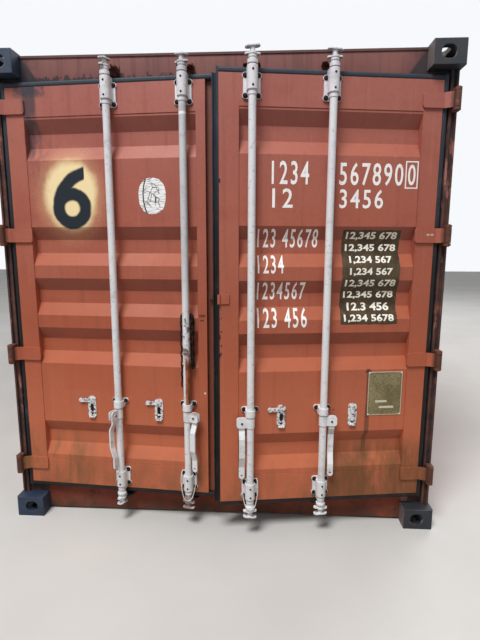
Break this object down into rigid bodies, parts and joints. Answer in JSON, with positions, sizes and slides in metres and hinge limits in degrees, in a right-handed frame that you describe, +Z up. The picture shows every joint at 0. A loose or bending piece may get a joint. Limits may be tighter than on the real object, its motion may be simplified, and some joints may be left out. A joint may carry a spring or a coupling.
{
  "type": "shipping container",
  "caption": "Steel dry-freight box with corrugated walls and roof, corner castings, fork pockets and two swinging end doors with turning locking bars, lifting handles and swivel catch hooks.",
  "frame": {"origin": "centre of the plane of the four bottom casting faces, on the ground", "axes": "+X along the length towards the doors, +Y to the right as seen from the doors, +Z up"},
  "size_m": [6.2429, 2.438, 2.591],
  "materials": {
    "red_paint": "weathered terracotta paint",
    "header_paint": "faded dull red paint",
    "casting_paint": "dark blue-black paint on cast steel",
    "rusty_steel": "rusty dark steel",
    "galvanised": "pale grey galvanised steel, partly rusty",
    "black_rubber": "matte weathered rubber",
    "black_plastic": "matte",
    "floor_wood": "bare plywood",
    "plate_brass": "dull greenish brass"
  },
  "bodies": {
    "container": {"top_corner_castings": "casting_paint", "bottom_corner_castings": "casting_paint", "door_posts": "red_paint", "front_posts": "red_paint", "door_header": "header_paint", "door_sill": "rusty_steel", "front_header": "red_paint", "front_sill": "red_paint", "top_side_rails": "red_paint", "bottom_side_rails": "red_paint", "front_wall": "red_paint", "left_wall": "red_paint", "right_wall": "red_paint", "roof": "red_paint", "floor": "floor_wood", "cross_members": "rusty_steel", "fork_pockets": "rusty_steel", "hinge_lugs": "rusty_steel", "cam_keepers": "header_paint", "vents": "black_plastic", "corner_plates": "red_paint"},
    "left_door": {"left_door_frame": "red_paint", "left_door_panel": "red_paint", "left_door_gasket": "black_rubber", "left_hinge_straps": "red_paint", "left_bar_brackets": "galvanised", "left_handle_catches": "galvanised", "left_centre_lug": "rusty_steel", "lock_chain": "rusty_steel"},
    "right_door": {"right_door_frame": "red_paint", "right_door_panel": "red_paint", "right_door_gasket": "black_rubber", "right_hinge_straps": "red_paint", "right_bar_brackets": "galvanised", "right_handle_catches": "galvanised", "right_centre_lug": "red_paint", "data_plate": "plate_brass"},
    "left_outer_bar": {"left_outer_bar": "galvanised"},
    "left_outer_handle": {"left_outer_handle": "galvanised"},
    "left_outer_hook": {"left_outer_hook": "galvanised"},
    "left_inner_bar": {"left_inner_bar": "galvanised"},
    "left_inner_handle": {"left_inner_handle": "galvanised"},
    "left_inner_hook": {"left_inner_hook": "galvanised"},
    "right_inner_bar": {"right_inner_bar": "galvanised"},
    "right_inner_handle": {"right_inner_handle": "galvanised"},
    "right_inner_hook": {"right_inner_hook": "galvanised"},
    "right_outer_bar": {"right_outer_bar": "galvanised"},
    "right_outer_handle": {"right_outer_handle": "galvanised"},
    "right_outer_hook": {"right_outer_hook": "galvanised"}
  },
  "joints": [
    {"name": "left_door_hinge", "type": "hinge", "parent": "container", "child": "left_door", "pos_m": [3.007, -1.194, 0.987], "axis": [0, 0, -1], "range_deg": [-4, 251]},
    {"name": "right_door_hinge", "type": "hinge", "parent": "container", "child": "right_door", "pos_m": [3.007, 1.194, 0.987], "axis": [0, 0, 1], "range_deg": [-8, 247]},
    {"name": "left_outer_bar_turn", "type": "hinge", "parent": "left_door", "child": "left_outer_bar", "pos_m": [3.04675, -0.56825, 0.665], "axis": [0, 0, 1], "range_deg": [-75, 105]},
    {"name": "left_outer_handle_lift", "type": "hinge", "parent": "left_outer_bar", "child": "left_outer_handle", "pos_m": [3.09024, -0.58322, 0.665], "axis": [-0.3256, -0.9455, 0], "range_deg": [0, 90]},
    {"name": "left_outer_hook_turn", "type": "hinge", "parent": "left_door", "child": "left_outer_hook", "pos_m": [3.00725, -0.73891, 0.722], "axis": [-0.9976, 0.0698, 0], "range_deg": [-180, 0]},
    {"name": "left_inner_bar_turn", "type": "hinge", "parent": "left_door", "child": "left_inner_bar", "pos_m": [3.07444, -0.17222, 0.665], "axis": [0, 0, 1], "range_deg": [-160, 20]},
    {"name": "left_inner_handle_lift", "type": "hinge", "parent": "left_inner_bar", "child": "left_inner_handle", "pos_m": [3.09315, -0.13019, 0.665], "axis": [0.9135, -0.4067, 0], "range_deg": [0, 90]},
    {"name": "left_inner_hook_turn", "type": "hinge", "parent": "left_door", "child": "left_inner_hook", "pos_m": [3.03494, -0.34288, 0.722], "axis": [-0.9976, 0.0698, 0], "range_deg": [-180, 0]},
    {"name": "right_inner_bar_turn", "type": "hinge", "parent": "right_door", "child": "right_inner_bar", "pos_m": [3.14555, 0.17941, 0.665], "axis": [0, 0, -1], "range_deg": [-180, 0]},
    {"name": "right_inner_handle_lift", "type": "hinge", "parent": "right_inner_bar", "child": "right_inner_handle", "pos_m": [3.15195, 0.13386, 0.665], "axis": [-0.9903, -0.1392, 0], "range_deg": [0, 90]},
    {"name": "right_inner_hook_turn", "type": "hinge", "parent": "right_door", "child": "right_inner_hook", "pos_m": [3.09424, 0.3469, 0.722], "axis": [0.9903, 0.1392, 0], "range_deg": [0, 180]},
    {"name": "right_outer_bar_turn", "type": "hinge", "parent": "right_door", "child": "right_outer_bar", "pos_m": [3.0903, 0.57254, 0.665], "axis": [0, 0, -1], "range_deg": [-8, 172]},
    {"name": "right_outer_handle_lift", "type": "hinge", "parent": "right_outer_bar", "child": "right_outer_handle", "pos_m": [3.0903, 0.61855, 0.665], "axis": [1, 0, 0], "range_deg": [0, 90]},
    {"name": "right_outer_hook_turn", "type": "hinge", "parent": "right_door", "child": "right_outer_hook", "pos_m": [3.03899, 0.74003, 0.722], "axis": [0.9903, 0.1392, 0], "range_deg": [-90, 90]}
  ]
}
